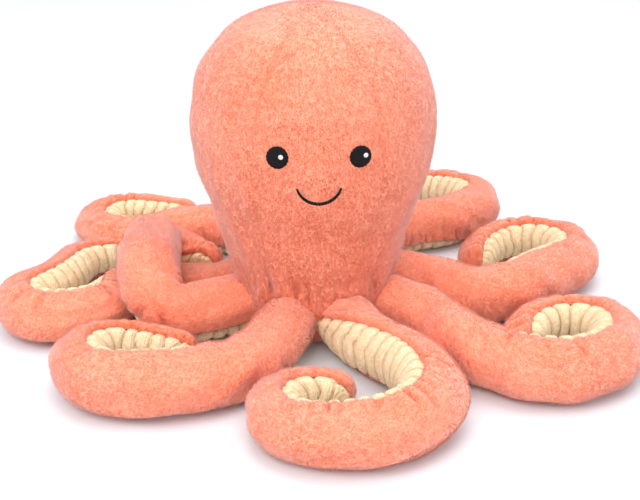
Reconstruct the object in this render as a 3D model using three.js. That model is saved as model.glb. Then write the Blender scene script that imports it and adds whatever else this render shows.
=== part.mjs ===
// A soft plush octopus: a pear-shaped head and body sewn from four gores, stuffed, with eight stuffed
// arms sewn on round its hem. Each arm is pile cloth on its back and ruched corduroy on the inside
// of its curl. Millimetres, +Z up, the floor at z = 0, the head's axis on Z and the face towards -Y.
// Seen by the viewer, who looks along +Y, "right" is +X and "left" is -X.
import * as THREE from 'three';

// Head and body
const HEAD_HEIGHT = 186.5;
const HEAD_RADIUS = 67.5;
const CLOTH = 1.6; // pile cloth with its backing, where it is thinnest
const SEAM_GAP = 0.3; // between two pieces of cloth, or cloth and filling
const BASE_THICKNESS = 2.4;
const PELLET_BAG_HEIGHT = 12.5;

// Arms. Lengths along an arm follow its thickness, because the curls wind round at that thickness
const ARM_RADIUS = 16.8; // where an arm is thickest
const FLAT_DEPTH = 0.5; // how far an arm is pressed flat on the floor
const WEDGE_EDGE = 1.5; // half the thickness of an arm where it is sewn to the hem
const NOSE_EDGE = 0.6; // the same at the rounded end of that edge
const PUFF_PITCH = 10; // from one gather of the corduroy to the next
const PUFF_DEPTH = 1.2;

// Face, embroidered
const EYE_RADIUS = 5.75;
const EYE_RISE = 1.9;
const GLINT_RADIUS = 1.2;
const GLINT_RISE = 0.5;
const GLINT_ASIDE = 2; // from the eye's middle
const MOUTH_WIDTH = 22.4;
const MOUTH_DROP = 8.7;
const THREAD_RADIUS = 0.6;

// Angles in degrees, and heights as shares of the head's height
const FACE_TURN = 2.5; // the face looks a little to the right
const EYE_TURN = 18;
const EYE_HEIGHT_SHARE = 0.653;
const MOUTH_HEIGHT_SHARE = 0.519; // its lowest point

// The pear's outline from the base panel to the crown. Each row is a height as a share of the head's
// height, then the shares of the hem's radius and of the head's radius that add up to its radius
const PEAR_SHARES = [
  [0.05, 0.94, 0], [0.1, 1, 0], [0.17, 0.89, 0.11], [0.25, 0.75, 0.25], [0.4, 0.43, 0.57],
  [0.54, 0.08, 0.92], [0.65, 0, 1], [0.76, 0, 0.965], [0.83, 0, 0.9], [0.89, 0, 0.78],
  [0.935, 0, 0.65], [0.967, 0, 0.47], [0.99, 0, 0.25], [1, 0, 0.025],
];
const BASE_SHARE = 0.82; // the base panel's radius, of the hem's
const HEM_SHARE = 2.62; // the hem's radius in arm radii: eight arm roots fit round it
const HEM_RADIUS = ARM_RADIUS * HEM_SHARE;

// Half the angle that the face gore spans, from the hem to the crown, as shares of a right angle
const FACE_GORE_SHARES = [[0, 0.41], [0.5, 0.34], [0.83, 0.3], [1, 0.2]];

// An arm's half thickness along its length, as shares of its length and of its radius
const SWELL_SHARES = [[0, 0.85], [0.08, 0.905], [0.2, 0.965], [0.4, 1], [0.6, 0.93], [0.8, 0.8], [1, 0.64]];
const SEAM_HEIGHT_SHARE = 1.13; // the height of the sewn edge, in arm radii
const WEDGE_LENGTH_SHARE = 1.07; // from that edge to the full round section, in arm radii
const WIDEN_SHARE = 0.3; // how much wider an arm gets where it is pressed, of how much lower
const NOSE_SHARE = 0.9; // how far the sewn edge is rounded, of its half thickness
const CLEAR_OF_WEDGE_SHARE = 1.3; // where the first ring past the wedge may lie, of the wedge's length
const CLEAR_OF_TIP_SHARE = 1.4; // where the last ring before the round tip may lie, of its length
const LEAST_WIDTH_SHARE = 0.3; // what is left inside the cloth where an arm is thinner than its cloth
const LEAST_HEIGHT_SHARE = 0.15;
const FILLED_SHARE = 0.33; // an arm is filled where this much of its half height is more than its cloth
const BAND_HALF_ANGLE = 60; // half the angle that the corduroy spans round an arm
const BAND_TILT = 14; // how far the corduroy looks up inside a curl

// The arms, from the seam's direction round the hem. Each has the length in arm radii, the turn of each
// sixth of its length in degrees, anticlockwise from above, and the shares of its length over which
// the corduroy turns from underneath to the inside of the curl. Where two arms cross, both are pressed
// flatter by a share of their thickness round a place on their length
const ARMS = [
  {
    name: 'front_right_arm', seam: -66, lengthShare: 15.0,
    turns: [20, -40, -68, -42, -100, -110], bandShares: [-0.15, 0.15],
  },
  {
    name: 'right_front_arm', seam: -21, lengthShare: 16.3,
    turns: [-50, 30, 65, 60, 105, 100], bandShares: [0.1, 0.4],
  },
  {
    name: 'right_back_arm', seam: 20, lengthShare: 15.8,
    turns: [-70, 95, -5, 80, 90, 70], bandShares: [0.1, 0.4],
  },
  {
    name: 'back_right_arm', seam: 62, lengthShare: 15.7,
    turns: [0, -45, 35, 85, 50, 30], bandShares: [0.35, 0.6],
  },
  {
    name: 'back_left_arm', seam: 117, lengthShare: 15.5,
    turns: [-5, 65, 15, -85, -120, -5], bandShares: [0.35, 0.6],
    pressed: { atShare: 0.6, spanShare: 0.42, depthShare: 0.31 },
  },
  {
    name: 'left_back_arm', seam: 160, lengthShare: 15.9,
    turns: [10, 90, -65, -135, 20, -85], bandShares: [0.1, 0.4],
    pressed: { atShare: 0.22, spanShare: 0.48, depthShare: 0.355 },
  },
  {
    name: 'left_front_arm', seam: -159, lengthShare: 11.15,
    turns: [0, -95, -15, 10, -85, -80], bandShares: [0.7, 1.05],
    pressed: { atShare: 0.58, spanShare: 0.36, depthShare: 0.25 },
    over: { riseShares: [0.16, 0.45], fallShares: [0.6, 0.94], heightShare: 1.5 },
  },
  {
    name: 'front_left_arm', seam: -109, lengthShare: 13.9,
    turns: [-8, -45, -25, -75, -105, -20], bandShares: [0.1, 0.4],
  },
];

// How finely the shapes are made
const ROUTE_STEPS = 96;
const STEP_TURN = 30; // the most that an arm turns from one ring to the next, in degrees
const LEAST_STEPS = 3; // rings in each sixth of an arm
const WEDGE_RINGS = 2;
const TIP_ROUND_SHARES = [0, 0.55, 0.88, 0.985];
const ROUND_SIDES = 24;
const EYE_SIDES = 16;
const GLINT_SIDES = 8;
const GORE_SIDES = { face: 6, side: 8, back: 6 };

const PLUSH = 0xf59c82;
const CORDUROY = 0xf3d3ab;
const FIBRE = 0xf4f1ea;
const PELLET = 0xd9d4c8;
const BLACK_THREAD = 0x17120f;
const WHITE_THREAD = 0xffffff;

const RIGHT_ANGLE = 90;
const radians = THREE.MathUtils.degToRad;
const mix = THREE.MathUtils.lerp;
const ease = (t) => THREE.MathUtils.smoothstep(t, 0, 1);

// The value of a table of [place, value] rows at a place, straight between the rows
function along(table, place) {
  const next = Math.max(1, table.findIndex(([at]) => at >= place));
  const row = place > table[table.length - 1][0] ? table.length - 1 : next;
  const [from, low] = table[row - 1];
  const [to, high] = table[row];
  return mix(low, high, THREE.MathUtils.clamp((place - from) / (to - from), 0, 1));
}

function meshOf(name, geometry, color, roughness) {
  const mesh = new THREE.Mesh(geometry, new THREE.MeshStandardMaterial({ color, roughness, metalness: 0 }));
  mesh.name = name;
  return mesh;
}

function geometryOf(points, triangles) {
  const geometry = new THREE.BufferGeometry();
  const places = points.flatMap((point) => [point.x, point.y, point.z]);
  geometry.setAttribute('position', new THREE.Float32BufferAttribute(places, 3));
  geometry.setIndex(triangles.flat());
  geometry.computeVertexNormals();
  return geometry;
}

const turned = ([a, b, c]) => [a, c, b];

// Two faces that fill a four-sided patch, given by its corners in turn, folded along its shorter diagonal
function patch(points, [a, b, c, d]) {
  const folded = points[b].distanceTo(points[d]) < points[a].distanceTo(points[c]);
  return folded ? [[a, b, d], [b, c, d]] : [[a, b, c], [a, c, d]];
}

// A closed skin over rings that all have one outline. The outline runs anticlockwise seen from the last ring
function skin(rings, outline) {
  const count = outline.length;
  const points = rings.flat();
  const triangles = [];
  for (let ring = 0; ring + 1 < rings.length; ring += 1) {
    for (let side = 0; side < count; side += 1) {
      const here = ring * count + side;
      const beside = ring * count + ((side + 1) % count);
      triangles.push(...patch(points, [here, beside, beside + count, here + count]));
    }
  }
  const cap = THREE.ShapeUtils.triangulateShape(outline, []);
  const last = (rings.length - 1) * count;
  cap.forEach((face) => triangles.push(turned(face), face.map((corner) => corner + last)));
  return geometryOf(points, triangles);
}

const flat = (angle, reach = 1) => new THREE.Vector2(Math.cos(angle) * reach, Math.sin(angle) * reach);

// Angles from one to another, in equal sides
const fan = (from, to, sides) => Array.from({ length: sides + 1 }, (_, i) => mix(from, to, i / sides));

// The head and body

const pearHeight = (row) => PEAR_SHARES[row][0] * HEAD_HEIGHT;
const hemLow = BASE_THICKNESS + SEAM_GAP;
const pearTable = [[hemLow, HEM_RADIUS * BASE_SHARE + SEAM_GAP]].concat(
  PEAR_SHARES.map(([height, hem, head]) => [height * HEAD_HEIGHT, HEM_RADIUS * hem + HEAD_RADIUS * head]),
);
const pearRadius = (height) => along(pearTable, height);

// The gores' edges at a height, anticlockwise from the face gore's right edge, as angles from +X
function goreEdges(height) {
  const centre = -RIGHT_ANGLE + FACE_TURN;
  const half = along(FACE_GORE_SHARES, height / HEAD_HEIGHT) * RIGHT_ANGLE;
  return [centre - half, centre + half, centre + 2 * RIGHT_ANGLE - half, centre + 2 * RIGHT_ANGLE + half];
}

const GORES = [
  { name: 'face_gore', edge: 0, sides: GORE_SIDES.face },
  { name: 'right_gore', edge: 1, sides: GORE_SIDES.side },
  { name: 'back_gore', edge: 2, sides: GORE_SIDES.back },
  { name: 'left_gore', edge: 3, sides: GORE_SIDES.side },
];

// A gore's span of angles at a height, in radians, short of its seams by half a seam's gap at a radius
function goreSpan(gore, height, reach) {
  const edges = goreEdges(height);
  const from = edges[gore.edge];
  const to = gore.edge === 3 ? edges[0] + 4 * RIGHT_ANGLE : edges[gore.edge + 1];
  const inset = Math.asin(Math.min(1, SEAM_GAP / 2 / reach));
  return [radians(from) + inset, radians(to) - inset];
}

// The cloth's inner radius: it stays a little way from the axis at the crown
const innerRadius = (radius) => Math.max(radius - CLOTH, radius / 2);

function goreOutline(gore, height) {
  const radius = pearRadius(height);
  const inner = innerRadius(radius);
  const [from, to] = goreSpan(gore, height, inner);
  const outside = fan(from, to, gore.sides).map((angle) => flat(angle, radius));
  const inside = fan(to, from, gore.sides / 2).map((angle) => flat(angle, inner));
  return outside.concat(inside);
}

const raised = (outline, height) => outline.map((point) => new THREE.Vector3(point.x, point.y, height));

function goreMesh(gore) {
  const heights = pearTable.map(([height]) => height);
  const rings = heights.map((height) => raised(goreOutline(gore, height), height));
  return meshOf(gore.name, skin(rings, goreOutline(gore, heights[1])), PLUSH, 0.95);
}

// The filling has the same sides as the inside of the cloth, so that the gap is even all round
function fillingOutline(height) {
  const reach = innerRadius(pearRadius(height)) - SEAM_GAP;
  return GORES.flatMap((gore) => {
    const [from, to] = goreSpan(gore, height, reach);
    return fan(from, to, gore.sides / 2).map((angle) => flat(angle, reach));
  });
}

function bodyFilling() {
  const low = hemLow + PELLET_BAG_HEIGHT + SEAM_GAP;
  const heights = [low].concat(PEAR_SHARES.map((_, row) => pearHeight(row)).filter((height) => height > low));
  heights.pop();
  const rings = heights.map((height) => raised(fillingOutline(height), height));
  return meshOf('body_filling', skin(rings, fillingOutline(low)), FIBRE, 1);
}

// A solid turned about Z from its outline of [radius, height] rows
function turnedSolid(name, rows, sides, color, roughness) {
  const outline = rows.map(([radius, height]) => new THREE.Vector2(radius, height));
  const geometry = new THREE.LatheGeometry(outline, sides);
  geometry.rotateX(radians(RIGHT_ANGLE));
  return meshOf(name, geometry, color, roughness);
}

function basePanel() {
  const radius = HEM_RADIUS * BASE_SHARE;
  const rows = [
    [0, 0],
    [radius - SEAM_GAP, 0],
    [radius, SEAM_GAP],
    [radius, BASE_THICKNESS],
    [0, BASE_THICKNESS],
  ];
  return turnedSolid('base_panel', rows, ROUND_SIDES, PLUSH, 0.95);
}

// The bag of plastic pellets that weighs the base: a flat bag with round edges
function pelletBag() {
  const bagShares = [[0, 0], [0.8, 0.02], [0.97, 0.25], [1, 0.5], [0.93, 0.78], [0.6, 0.97], [0, 1]];
  const radius = HEM_RADIUS * BASE_SHARE - 2 * CLOTH;
  const rows = bagShares.map(([out, up]) => [out * radius, hemLow + up * PELLET_BAG_HEIGHT]);
  return turnedSolid('pellet_bag', rows, ROUND_SIDES, PELLET, 0.8);
}

// The face

// A place on the face's cloth, turned from the face's middle, and standing off the cloth
function onFace(turn, height, standOff) {
  const angle = radians(FACE_TURN - RIGHT_ANGLE + turn);
  const place = flat(angle, pearRadius(height) + standOff);
  return new THREE.Vector3(place.x, place.y, height);
}

// A low dome of thread, its flat side on the cloth at a place, looking out from the head's axis
function stitchedDome(name, [radius, rise, sides], place, color, roughness) {
  const domeShares = [[0, 0], [1, 0], [1, 0.25], [0.85, 0.62], [0.5, 0.92], [0, 1]];
  const rows = domeShares.map(([out, up]) => [out * radius, up * rise]);
  const mesh = turnedSolid(name, rows, sides, color, roughness);
  mesh.position.copy(place);
  const outwards = new THREE.Vector3(place.x, place.y, 0).normalize();
  mesh.quaternion.setFromUnitVectors(new THREE.Vector3(0, 0, 1), outwards);
  return mesh;
}

function eyeMeshes() {
  const height = EYE_HEIGHT_SHARE * HEAD_HEIGHT;
  return [['left_eye', -EYE_TURN], ['right_eye', EYE_TURN]].flatMap(([name, turn]) => {
    const middle = onFace(turn, height, SEAM_GAP);
    const eye = stitchedDome(name, [EYE_RADIUS, EYE_RISE, EYE_SIDES], middle, BLACK_THREAD, 0.4);
    const aside = THREE.MathUtils.radToDeg(GLINT_ASIDE / pearRadius(height));
    const place = onFace(turn + aside, height + GLINT_RADIUS / 2, EYE_RISE + 2 * SEAM_GAP);
    const glint = [GLINT_RADIUS, GLINT_RISE, GLINT_SIDES];
    return [eye, stitchedDome(`${name}_glint`, glint, place, WHITE_THREAD, 0.6)];
  });
}

// The smile: a round arc on the cloth, as wide and as deep as its two sizes say
class Smile extends THREE.Curve {
  getPoint(t) {
    const radius = (MOUTH_WIDTH ** 2 / 4 + MOUTH_DROP ** 2) / 2 / MOUTH_DROP;
    const half = Math.asin(MOUTH_WIDTH / 2 / radius);
    const swing = mix(-half, half, t);
    const height = MOUTH_HEIGHT_SHARE * HEAD_HEIGHT + radius * (1 - Math.cos(swing));
    const turn = THREE.MathUtils.radToDeg(radius * Math.sin(swing) / pearRadius(height));
    return onFace(turn, height, THREAD_RADIUS + SEAM_GAP);
  }
}

function mouthMesh() {
  const angles = fan(0, 2 * Math.PI, 6).slice(0, -1);
  const section = new THREE.Shape(angles.map((angle) => flat(angle, THREAD_RADIUS)));
  const geometry = new THREE.ExtrudeGeometry(section, { extrudePath: new Smile(), steps: 16 });
  return meshOf('mouth', geometry, BLACK_THREAD, 0.6);
}

// The arms

const armLength = (arm) => arm.lengthShare * ARM_RADIUS;
const armRadius = (share) => along(SWELL_SHARES, share) * ARM_RADIUS;

// An arm's half width and half height. Where it is pressed it is lower, and a little wider
function armSize(arm, share) {
  const radius = armRadius(share);
  if (!arm.pressed) return { half: radius, low: radius };
  const { atShare, spanShare, depthShare } = arm.pressed;
  const pressed = depthShare * ease(1 - Math.abs(share - atShare) / spanShare);
  return { half: radius * (1 + pressed * WIDEN_SHARE), low: radius * (1 - pressed) };
}

const wedgeShare = (arm) => WEDGE_LENGTH_SHARE * ARM_RADIUS / armLength(arm);

// How high an arm that lies over its neighbour is held above the floor, from nothing to its full height
function lift(arm, share) {
  if (!arm.over) return 0;
  const { riseShares: [low, high], fallShares: [start, end], heightShare } = arm.over;
  const rise = ease((share - low) / (high - low));
  const fall = ease((end - share) / (end - start));
  return Math.min(rise, fall) * heightShare * ARM_RADIUS;
}

// The height of an arm's middle: sewn on at the seam's height, and lying on the floor past its wedge
function middleHeight(arm, share) {
  const laid = (at) => armSize(arm, at).low - FLAT_DEPTH + lift(arm, at);
  const wedge = wedgeShare(arm);
  return share < wedge ? mix(SEAM_HEIGHT_SHARE * ARM_RADIUS, laid(wedge), share / wedge) : laid(share);
}

// An arm's middle line from its seam, which is at x = 0, y = 0. It is a chain of arcs, one for each
// sixth, seen from above, and climbs as middleHeight says without growing longer
function armRoute(arm) {
  const step = armLength(arm) / ROUTE_STEPS;
  const route = [{ place: new THREE.Vector3(0, 0, middleHeight(arm, 0)), heading: 0 }];
  for (let i = 0; i < ROUTE_STEPS; i += 1) {
    const { place, heading } = route[i];
    const arc = Math.floor(i * arm.turns.length / ROUTE_STEPS);
    const turn = radians(arm.turns[arc]) * arm.turns.length / ROUTE_STEPS;
    const height = middleHeight(arm, (i + 1) / ROUTE_STEPS);
    const climb = height - place.z;
    const level = Math.sqrt(Math.max(step ** 2 - climb ** 2, 0));
    const ahead = flat(heading + turn / 2, level);
    const next = new THREE.Vector3(place.x + ahead.x, place.y + ahead.y, height);
    route.push({ place: next, heading: heading + turn });
  }
  return route;
}

// The middle, heading and slope of a route at a share of its length
function routeAt(route, share) {
  const at = THREE.MathUtils.clamp(share, 0, 1) * ROUTE_STEPS;
  const low = Math.min(Math.floor(at), ROUTE_STEPS - 1);
  const [here, next] = [route[low], route[low + 1]];
  const chord = next.place.clone().sub(here.place);
  const slopeBefore = low > 0 ? here.place.z - route[low - 1].place.z : chord.z;
  const climb = at - low < 1e-9 ? (slopeBefore + chord.z) / 2 : chord.z;
  return {
    place: here.place.clone().lerp(next.place, at - low),
    heading: mix(here.heading, next.heading, at - low),
    slope: Math.asin(THREE.MathUtils.clamp(climb / chord.length(), -1, 1)),
  };
}

// Which side of an arm is the inside of its curl: 1 on the left of its heading, -1 on the right
const curlSide = (arm) => Math.sign(arm.turns.slice(arm.turns.length / 2).reduce((sum, turn) => sum + turn));

// Where the middle of the corduroy looks, round an arm from its left side over its top, in radians
function bandAngle(arm, share) {
  const [start, end] = arm.bandShares;
  const inwards = ease((share - start) / (end - start));
  return radians(-RIGHT_ANGLE + curlSide(arm) * (RIGHT_ANGLE + BAND_TILT) * inwards);
}

// A section of an arm: its middle, its two directions across, and its half width and half height
function section(arm, route, share, { half, low } = armSize(arm, share)) {
  const { place, heading, slope } = routeAt(route, share);
  const left = new THREE.Vector3(-Math.sin(heading), Math.cos(heading), 0);
  const lean = flat(heading, -Math.sin(slope));
  const up = new THREE.Vector3(lean.x, lean.y, Math.cos(slope));
  return { share, place, left, up, half, low, band: bandAngle(arm, share) };
}

// The half width of a section, drawn in from its surface by an inset
const drawnIn = (cut, inset) => Math.max(cut.half - inset, cut.half * LEAST_WIDTH_SHARE);

// A point of a section at an angle round it, drawn in from its surface, and never under the floor
function sectionPoint(cut, angle, inset) {
  const across = drawnIn(cut, inset);
  const upright = Math.max(cut.low - inset, cut.low * LEAST_HEIGHT_SHARE);
  const point = cut.place.clone();
  point.addScaledVector(cut.left, across * Math.cos(angle));
  point.addScaledVector(cut.up, upright * Math.sin(angle));
  point.z = Math.max(point.z, 0);
  return point;
}

// Where the rings of the half of an arm from one share to another lie. Tight stretches get more rings
function ringShares(arm, from, to) {
  const sixths = arm.turns.length;
  const shares = [];
  for (let sixth = Math.round(from * sixths); sixth < Math.round(to * sixths); sixth += 1) {
    const steps = Math.max(LEAST_STEPS, Math.ceil(Math.abs(arm.turns[sixth]) / STEP_TURN));
    for (let i = 0; i < steps; i += 1) shares.push((sixth + i / steps) / sixths);
  }
  return shares.concat(to);
}

// The half of an arm that is sewn to the hem: a rounded edge, a wedge and then the round tube
function rootSections(arm, route) {
  const wedge = wedgeShare(arm);
  const edge = section(arm, route, 0, { half: armRadius(0), low: WEDGE_EDGE });
  const behind = new THREE.Vector3(-WEDGE_EDGE * NOSE_SHARE, 0, 0);
  const nose = { ...edge, low: NOSE_EDGE, place: edge.place.clone().add(behind) };
  const cuts = [nose, edge];
  for (let i = 1; i <= WEDGE_RINGS; i += 1) {
    const part = i / WEDGE_RINGS;
    const share = wedge * part;
    const { half, low } = armSize(arm, share);
    cuts.push(section(arm, route, share, { half, low: mix(WEDGE_EDGE, low, part) }));
  }
  const halfGap = SEAM_GAP / 2 / armLength(arm);
  const tube = ringShares(arm, 0, 0.5).filter((share) => share > wedge * CLEAR_OF_WEDGE_SHARE);
  tube[tube.length - 1] -= halfGap;
  return cuts.concat(tube.map((share) => section(arm, route, share)));
}

// The outer half of an arm, which ends in a round tip
function tipSections(arm, route) {
  const halfGap = SEAM_GAP / 2 / armLength(arm);
  const tipShare = armRadius(1) / armLength(arm);
  const tube = ringShares(arm, 0.5, 1).filter((share) => share < 1 - tipShare * CLEAR_OF_TIP_SHARE);
  tube[0] += halfGap;
  const cuts = tube.map((share) => section(arm, route, share));
  return cuts.concat(TIP_ROUND_SHARES.map((round) => {
    const share = 1 - tipShare * (1 - round);
    const { half, low } = armSize(arm, share);
    const reach = Math.sqrt(1 - round ** 2);
    return section(arm, route, share, { half: half * reach, low: low * reach });
  }));
}

// Angles round an arm for cloth that spans from one angle to another from the middle of the corduroy.
// A seam's gap is left at both ends. It is as wide inside as outside
function clothAngles(cut, from, to, sides, inset) {
  const gap = Math.asin(Math.min(1 / 2, SEAM_GAP / 2 / drawnIn(cut, inset)));
  return fan(cut.band + radians(from) + gap, cut.band + radians(to) - gap, sides);
}

const OUTER_SIDE = 30;
const INNER_SIDE = 60;
const PLUSH_SPAN = [BAND_HALF_ANGLE, 4 * RIGHT_ANGLE - BAND_HALF_ANGLE];
const BAND_SPAN = [-BAND_HALF_ANGLE, BAND_HALF_ANGLE];

// One ring of a piece of cloth: its outside, then its inside the other way round
function clothRing(cut, [from, to]) {
  const outside = clothAngles(cut, from, to, (to - from) / OUTER_SIDE, 0);
  const inside = clothAngles(cut, from, to, (to - from) / INNER_SIDE, CLOTH).reverse();
  return outside.map((angle) => sectionPoint(cut, angle, 0)).concat(
    inside.map((angle) => sectionPoint(cut, angle, CLOTH)),
  );
}

function clothOutline([from, to]) {
  const outside = fan(radians(from), radians(to), (to - from) / OUTER_SIDE).map((angle) => flat(angle));
  const inside = fan(radians(to), radians(from), (to - from) / INNER_SIDE).map((angle) => flat(angle, 0.8));
  return outside.concat(inside);
}

const plushMesh = (name, cuts) => meshOf(
  name,
  skin(cuts.map((cut) => clothRing(cut, PLUSH_SPAN)), clothOutline(PLUSH_SPAN)),
  PLUSH,
  0.95,
);

function armFilling(name, cuts) {
  const inset = CLOTH + SEAM_GAP;
  const deep = cuts.filter((cut) => cut.low * FILLED_SHARE > inset);
  const angles = fan(0, 2 * Math.PI, 6).slice(0, -1);
  const rings = deep.map((cut) => angles.map((angle) => sectionPoint(cut, cut.band + angle, inset)));
  return meshOf(name, skin(rings, angles.map((angle) => flat(angle))), FIBRE, 1);
}

// The rows of corduroy between two rings: a valley at each end of a gather and a crest in its middle
function puffRows(cuts) {
  const rows = [];
  for (let ring = 0; ring + 1 < cuts.length; ring += 1) {
    const puffs = Math.max(1, Math.round(cuts[ring].place.distanceTo(cuts[ring + 1].place) / PUFF_PITCH));
    for (let i = 0; i < 2 * puffs; i += 1) {
      rows.push({ ring, part: i / 2 / puffs, valley: i % 2 === 0 && ring + i > 0 });
    }
  }
  return rows.concat({ ring: cuts.length - 2, part: 1, valley: false });
}

// A point on the ruched outside of the corduroy. Both seams stay straight, and the valleys between
// the gathers are drawn in towards the middle of the arm
function puffPoint(cuts, outside, row, column) {
  const point = outside[row.ring][column].clone().lerp(outside[row.ring + 1][column], row.part);
  const edge = column === 0 || column === outside[0].length - 1;
  if (!row.valley || edge) return point;
  const middle = cuts[row.ring].place.clone().lerp(cuts[row.ring + 1].place, row.part);
  const depth = PUFF_DEPTH * mix(cuts[row.ring].low, cuts[row.ring + 1].low, row.part) / ARM_RADIUS;
  return point.addScaledVector(middle.sub(point).normalize(), depth);
}

// The narrow wall along a seam, from a gathered edge to the plain edge below it: a fan of faces from
// one end of the plain edge, leaning like a patch does
function seamWall(points, edge, [below, belowNext]) {
  const last = edge.length - 1;
  const across = points[edge[0]].distanceTo(points[belowNext]);
  const leansBack = across < points[edge[last]].distanceTo(points[below]);
  const foot = leansBack ? belowNext : below;
  const faces = edge.slice(1).map((corner, i) => [edge[i], corner, foot]);
  return faces.concat([leansBack ? [edge[0], belowNext, below] : [edge[last], belowNext, below]]);
}

// The ruched corduroy: finely gathered outside, plain inside, with a wall along each seam
function corduroyMesh(name, cuts) {
  const rings = cuts.map((cut) => clothRing(cut, BAND_SPAN));
  const columns = (BAND_SPAN[1] - BAND_SPAN[0]) / OUTER_SIDE + 1;
  const outside = rings.map((ring) => ring.slice(0, columns));
  const inside = rings.map((ring) => ring.slice(columns));
  const rows = puffRows(cuts);
  const points = rows.flatMap((row) => outside[0].map((_, column) => puffPoint(cuts, outside, row, column)));
  points.push(...inside.flat());
  const top = (row, column) => row * columns + column;
  const across = inside[0].length;
  const under = (ring, column) => rows.length * columns + ring * across + column;
  const triangles = [];
  for (let row = 0; row + 1 < rows.length; row += 1) {
    for (let column = 0; column + 1 < columns; column += 1) {
      const [here, beside] = [top(row, column), top(row, column + 1)];
      triangles.push(...patch(points, [here, beside, beside + columns, here + columns]));
    }
  }
  for (let ring = 0; ring + 1 < rings.length; ring += 1) {
    const span = rows.map((row, i) => (row.ring === ring ? i : -1)).filter((i) => i >= 0);
    span.push(span[span.length - 1] + 1);
    const near = span.slice(0, rows.length - span[0]).map((row) => top(row, 0));
    const far = near.map((corner) => corner + columns - 1).reverse();
    triangles.push(...seamWall(points, near, [under(ring, across - 1), under(ring + 1, across - 1)]));
    triangles.push(...seamWall(points, far, [under(ring + 1, 0), under(ring, 0)]));
  }
  for (let ring = 0; ring + 1 < rings.length; ring += 1) {
    for (let column = 0; column + 1 < across; column += 1) {
      const [here, beside] = [under(ring, column), under(ring, column + 1)];
      triangles.push(...patch(points, [here, beside, beside + across, here + across]));
    }
  }
  const cap = THREE.ShapeUtils.triangulateShape(clothOutline(BAND_SPAN), []);
  const corner = (row, ring) => (i) => (i < columns ? top(row, i) : under(ring, i - columns));
  cap.forEach((face) => {
    triangles.push(turned(face).map(corner(0, 0)), face.map(corner(rows.length - 1, rings.length - 1)));
  });
  return meshOf(name, geometryOf(points, triangles), CORDUROY, 0.9);
}

// One arm, in a group that stands at its seam and looks out from the head's axis. The two halves of
// an arm bend on a line down its outer side, or over its top where it lies across its neighbour
function armGroup(arm) {
  const route = armRoute(arm);
  const group = new THREE.Group();
  const halves = [[arm.name, rootSections(arm, route)], [`${arm.name}_tip`, tipSections(arm, route)]];
  halves.forEach(([name, cuts]) => {
    group.add(plushMesh(`${name}_plush`, cuts), corduroyMesh(`${name}_corduroy`, cuts));
    group.add(armFilling(`${name}_filling`, cuts));
  });
  const seamHeight = SEAM_HEIGHT_SHARE * ARM_RADIUS;
  const seamReach = pearRadius(seamHeight) + SEAM_GAP + WEDGE_EDGE;
  const place = flat(radians(arm.seam), seamReach);
  group.position.set(place.x, place.y, 0);
  group.rotation.z = radians(arm.seam);
  const middle = section(arm, route, 0.5);
  const out = arm.over ? middle.up : middle.left.clone().multiplyScalar(-curlSide(arm));
  group.userData.seam = new THREE.Vector3(0, 0, seamHeight);
  group.userData.bend = middle.place.clone().addScaledVector(out, middle.half);
  group.userData.bendAxis = arm.over ? middle.left.clone().negate() : new THREE.Vector3(0, 0, -curlSide(arm));
  return group;
}

const octopus = new THREE.Group();
octopus.add(...GORES.map(goreMesh), basePanel(), bodyFilling(), pelletBag());
octopus.add(...eyeMeshes(), mouthMesh());
octopus.add(...ARMS.map(armGroup));

export default octopus;
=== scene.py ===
"""A soft plush octopus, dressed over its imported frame.

Blender works in metres, with +Z up, the floor at z = 0 and the face towards -Y. Lengths here are in
millimetres until a mesh is made. The arms' routes and the pear's outline are those of the frame's solids,
so every piece of cloth lies where its solid is.
"""
import math

import bpy
import numpy as np
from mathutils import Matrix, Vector


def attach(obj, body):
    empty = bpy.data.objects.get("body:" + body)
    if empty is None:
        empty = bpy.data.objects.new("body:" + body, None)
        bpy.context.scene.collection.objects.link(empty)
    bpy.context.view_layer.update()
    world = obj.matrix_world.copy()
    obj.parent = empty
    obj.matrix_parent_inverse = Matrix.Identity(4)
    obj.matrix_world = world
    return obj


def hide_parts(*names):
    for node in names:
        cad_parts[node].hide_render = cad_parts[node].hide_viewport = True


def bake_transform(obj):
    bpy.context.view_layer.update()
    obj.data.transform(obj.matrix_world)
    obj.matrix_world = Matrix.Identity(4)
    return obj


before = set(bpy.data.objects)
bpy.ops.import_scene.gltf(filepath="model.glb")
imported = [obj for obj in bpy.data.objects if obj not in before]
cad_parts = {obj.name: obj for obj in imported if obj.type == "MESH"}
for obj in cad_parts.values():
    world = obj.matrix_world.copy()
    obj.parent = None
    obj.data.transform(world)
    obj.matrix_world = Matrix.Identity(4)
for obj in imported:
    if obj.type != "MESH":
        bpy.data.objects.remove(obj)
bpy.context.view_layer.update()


# The camera stands where the photograph was taken from: straight before the toy, a little above it and
# looking down on it. Its focal length is 1100 of the photograph's pixels, and a small turn sets the
# picture's middle.

PHOTO_WIDTH = 640
FOCAL_LENGTH = 1100
SENSOR_WIDTH = 36
LOOKS_DOWN = 23.4
MIDDLE_OFFSET = 7

camera_data = bpy.data.cameras.new("camera")
camera_data.sensor_width = SENSOR_WIDTH
camera_data.lens = SENSOR_WIDTH * FOCAL_LENGTH / PHOTO_WIDTH
camera = bpy.data.objects.new("camera", camera_data)
camera.location = (0, -0.592, 0.299)
camera.rotation_euler = (math.radians(90 - LOOKS_DOWN), 0, -math.atan(MIDDLE_OFFSET / FOCAL_LENGTH))
bpy.context.scene.collection.objects.link(camera)
bpy.context.scene.camera = camera


# The toy sits on a pale, matt studio floor. Large soft lamps light it from the left front, from low in
# front and from overhead, and a pale grey-blue world fills the shadows.

MM = 0.001
FLOOR_REACH = 4000
TOY_MIDDLE = Vector((0, 0, 0.06))


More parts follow.
